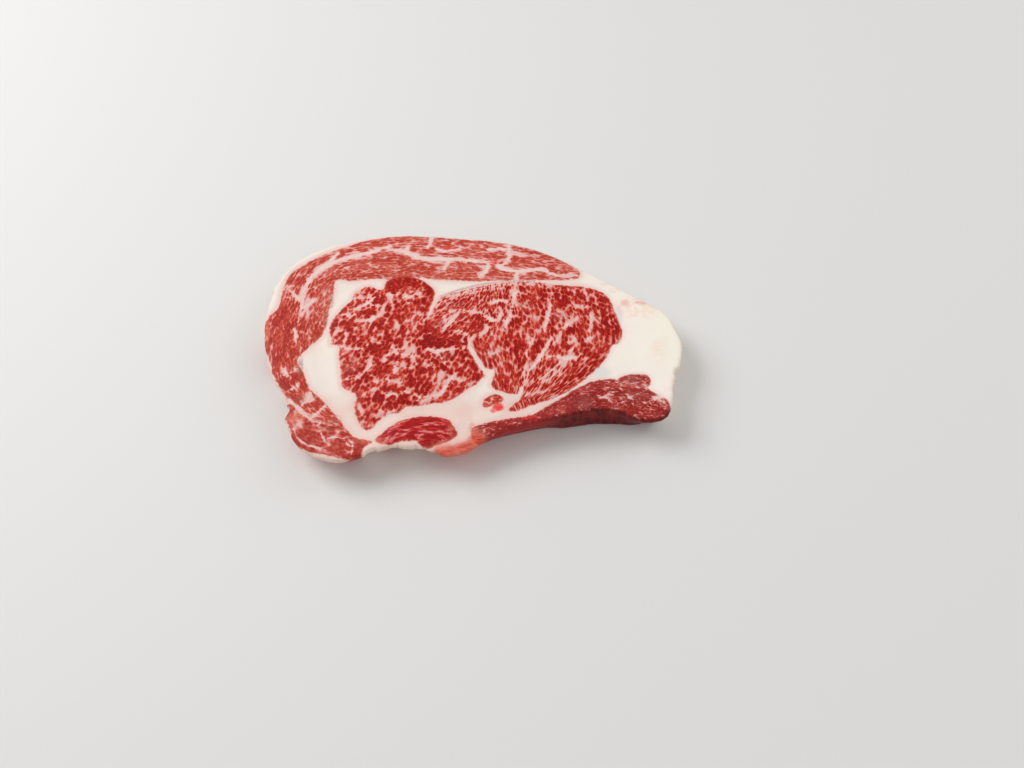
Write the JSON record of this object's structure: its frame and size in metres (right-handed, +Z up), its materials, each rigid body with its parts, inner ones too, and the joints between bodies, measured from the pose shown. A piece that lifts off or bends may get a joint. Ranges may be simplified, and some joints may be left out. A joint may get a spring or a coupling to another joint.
{
  "type": "raw ribeye steak",
  "caption": "Raw, heavily marbled ribeye steak cut as one flat slice, with an eye of two lobes inside a curved outer cap and a fat tail at one end.",
  "frame": {"origin": "under the middle of the slice's outline, on the plane that it rests on", "axes": "+X along the slice's length towards the fat tail, +Y towards the rounded cap side, +Z up through the thickness"},
  "size_m": [0.2376, 0.155, 0.0203],
  "materials": {
    "raw_beef": "moist raw beef, deep red lean with pinkish white marbling and cream fat"
  },
  "bodies": {
    "root": {"steak": "raw_beef"}
  },
  "joints": []
}
